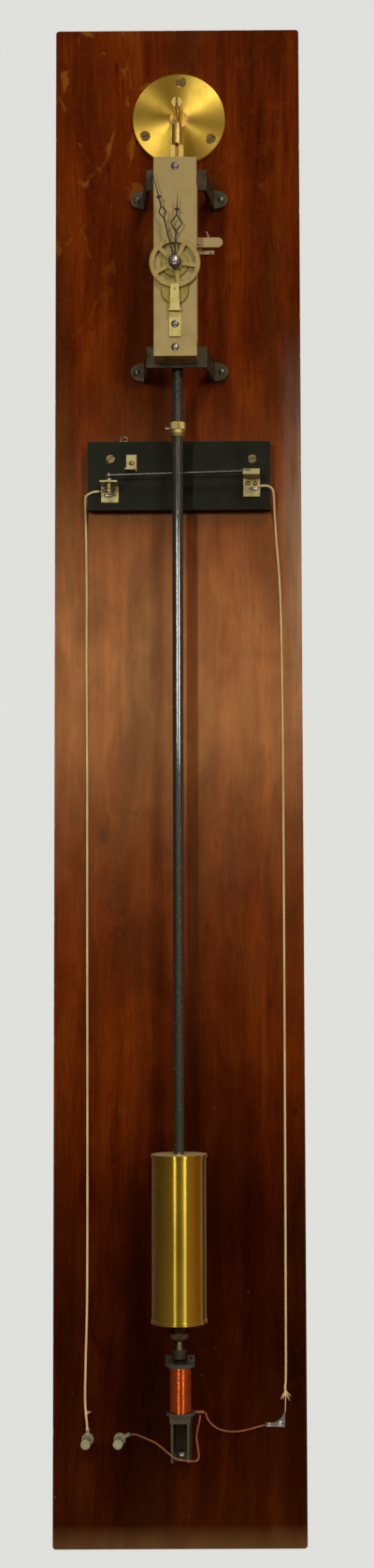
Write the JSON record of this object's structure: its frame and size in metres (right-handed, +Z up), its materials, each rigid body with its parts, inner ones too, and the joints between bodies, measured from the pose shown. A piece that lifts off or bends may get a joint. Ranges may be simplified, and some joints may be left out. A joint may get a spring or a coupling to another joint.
{
  "type": "electric impulse clock",
  "caption": "Wall-board electric clock: a long seconds pendulum kept swinging by an electromagnet, with an open two-plate movement, hands, switch and wiring.",
  "frame": {"origin": "centre of the back board's rear face, which hangs against the wall", "axes": "+X to the right as seen from the front, +Y into the wall, +Z up; the front faces -Y"},
  "size_m": [0.225, 0.1166, 1.38],
  "materials": {
    "mahogany": "french polished, glossy",
    "disc_brass": "turned, satin",
    "plate_brass": "aged, satin",
    "bright_brass": "polished",
    "bob_brass": "polished and lacquered",
    "gear_brass": "satin",
    "spring_steel": "blued",
    "steel": "satin",
    "screw_steel": "worn",
    "dark_iron": "dark, satin",
    "black_paint": "black, semi-gloss",
    "hand_black": "blackened, satin",
    "filling": "rough",
    "ebonite": "black, scratched",
    "contact_brass": "dull",
    "fibre": "vulcanised fibre",
    "copper_wire": "copper, enamelled",
    "terminal_metal": "dull plated",
    "solder": "tinned",
    "cream_insulation": "cream",
    "brown_insulation": "brown cotton"
  },
  "bodies": {
    "board": {"backboard": "mahogany", "suspension_disc": "disc_brass", "countersunk_screws": "bright_brass", "suspension_stud": "bright_brass", "suspension_pin": "steel", "upper_bracket": "dark_iron", "lower_bracket": "dark_iron", "round_head_screws": "screw_steel", "back_plate": "plate_brass", "front_plate": "plate_brass", "plate_spacers": "plate_brass", "movement_screws": "steel", "minute_cock": "bright_brass", "click_bracket": "plate_brass", "switch_board": "ebonite", "contact_post": "contact_brass", "contact_screw": "contact_brass", "strip_block": "contact_brass", "back_stop": "contact_brass", "contact_fixings": "contact_brass", "magnet_bracket": "dark_iron", "magnet_core": "dark_iron", "bobbin": "fibre", "winding": "copper_wire", "terminal_posts": "terminal_metal", "terminal_nuts": "terminal_metal", "solder_tags": "solder", "left_wire": "cream_insulation", "right_wire": "cream_insulation", "left_lead": "brown_insulation", "right_lead": "brown_insulation"},
    "pendulum": {"suspension_spring": "spring_steel", "pendulum_head": "bright_brass", "pendulum_rod": "black_paint", "pendulum_pins": "steel", "rod_collar": "bright_brass", "collar_screw": "steel", "pawl_carrier": "gear_brass", "armature_ferrule": "bright_brass", "armature": "dark_iron"},
    "bob": {"bob_tube": "bob_brass", "bob_caps": "bob_brass", "bob_filling": "filling", "bob_nut": "steel"},
    "rating": {"rating_nut": "gear_brass"},
    "toggle": {"toggle_vane": "steel"},
    "pawl": {"drive_pawl": "steel"},
    "strip": {"contact_strip": "steel", "toggle_block": "steel"},
    "click": {"click_lever": "plate_brass", "click_spring": "steel"},
    "centre": {"centre_wheel": "gear_brass", "cannon_wheel": "gear_brass", "minute_hand": "hand_black", "hand_nut": "steel"},
    "intermediate": {"intermediate_wheel": "gear_brass"},
    "count": {"count_wheel": "gear_brass"},
    "minute": {"minute_wheel": "gear_brass"},
    "hour": {"hour_wheel": "gear_brass", "hour_hand": "hand_black"}
  },
  "joints": [
    {"name": "pendulum_swing", "type": "hinge", "parent": "board", "child": "pendulum", "pos_m": [0.0015, -0.062, 0.604], "axis": [0, 1, 0], "range_deg": [-2.5, 2.5]},
    {"name": "bob_slide", "type": "slide", "parent": "pendulum", "child": "bob", "axis": [0, 0, 1], "range_m": [-0.002, 0.004]},
    {"name": "rating_turn", "type": "hinge", "parent": "bob", "child": "rating", "pos_m": [0.0015, -0.062, -0.498], "axis": [0, 0, 1], "range_deg": [-725, 1445]},
    {"name": "toggle_swing", "type": "hinge", "parent": "pendulum", "child": "toggle", "pos_m": [0.0015, -0.048, 0.3], "axis": [0, 1, 0], "range_deg": [-20, 20]},
    {"name": "pawl_lift", "type": "hinge", "parent": "pendulum", "child": "pawl", "pos_m": [0.0015, -0.0823, 0.503], "axis": [0, 1, 0], "range_deg": [0, 15]},
    {"name": "strip_flex", "type": "hinge", "parent": "board", "child": "strip", "pos_m": [0.0598, -0.048, 0.2682], "axis": [0, 1, 0], "range_deg": [-0.3, 0], "stiffness_Nm_per_rad": 0.5, "springref_deg": 0.57},
    {"name": "click_turn", "type": "hinge", "parent": "board", "child": "click", "pos_m": [0.0216, -0.0823, 0.4676], "axis": [0, 1, 0], "range_deg": [0, 8], "stiffness_Nm_per_rad": 0.002, "springref_deg": -17.19},
    {"name": "centre_turn", "type": "hinge", "parent": "board", "child": "centre", "pos_m": [0.0015, -0.0942, 0.443], "axis": [0, 1, 0], "continuous": true},
    {"name": "intermediate_turn", "type": "hinge", "parent": "board", "child": "intermediate", "pos_m": [0.0015, -0.0882, 0.461], "axis": [0, 1, 0], "continuous": true},
    {"name": "count_turn", "type": "hinge", "parent": "board", "child": "count", "pos_m": [0.0015, -0.0823, 0.478], "axis": [0, 1, 0], "continuous": true},
    {"name": "minute_turn", "type": "hinge", "parent": "board", "child": "minute", "pos_m": [0.0015, -0.1037, 0.4185], "axis": [0, 1, 0], "continuous": true},
    {"name": "hour_turn", "type": "hinge", "parent": "board", "child": "hour", "pos_m": [0.0015, -0.1061, 0.443], "axis": [0, 1, 0], "continuous": true}
  ],
  "couplings": [
    {"joint": "rating_turn", "follows": "bob_slide", "rad_per_m": 6283.2},
    {"joint": "intermediate_turn", "follows": "centre_turn", "ratio": -8},
    {"joint": "count_turn", "follows": "centre_turn", "ratio": 60},
    {"joint": "minute_turn", "follows": "centre_turn", "ratio": -1},
    {"joint": "hour_turn", "follows": "centre_turn", "ratio": 0.083333}
  ]
}
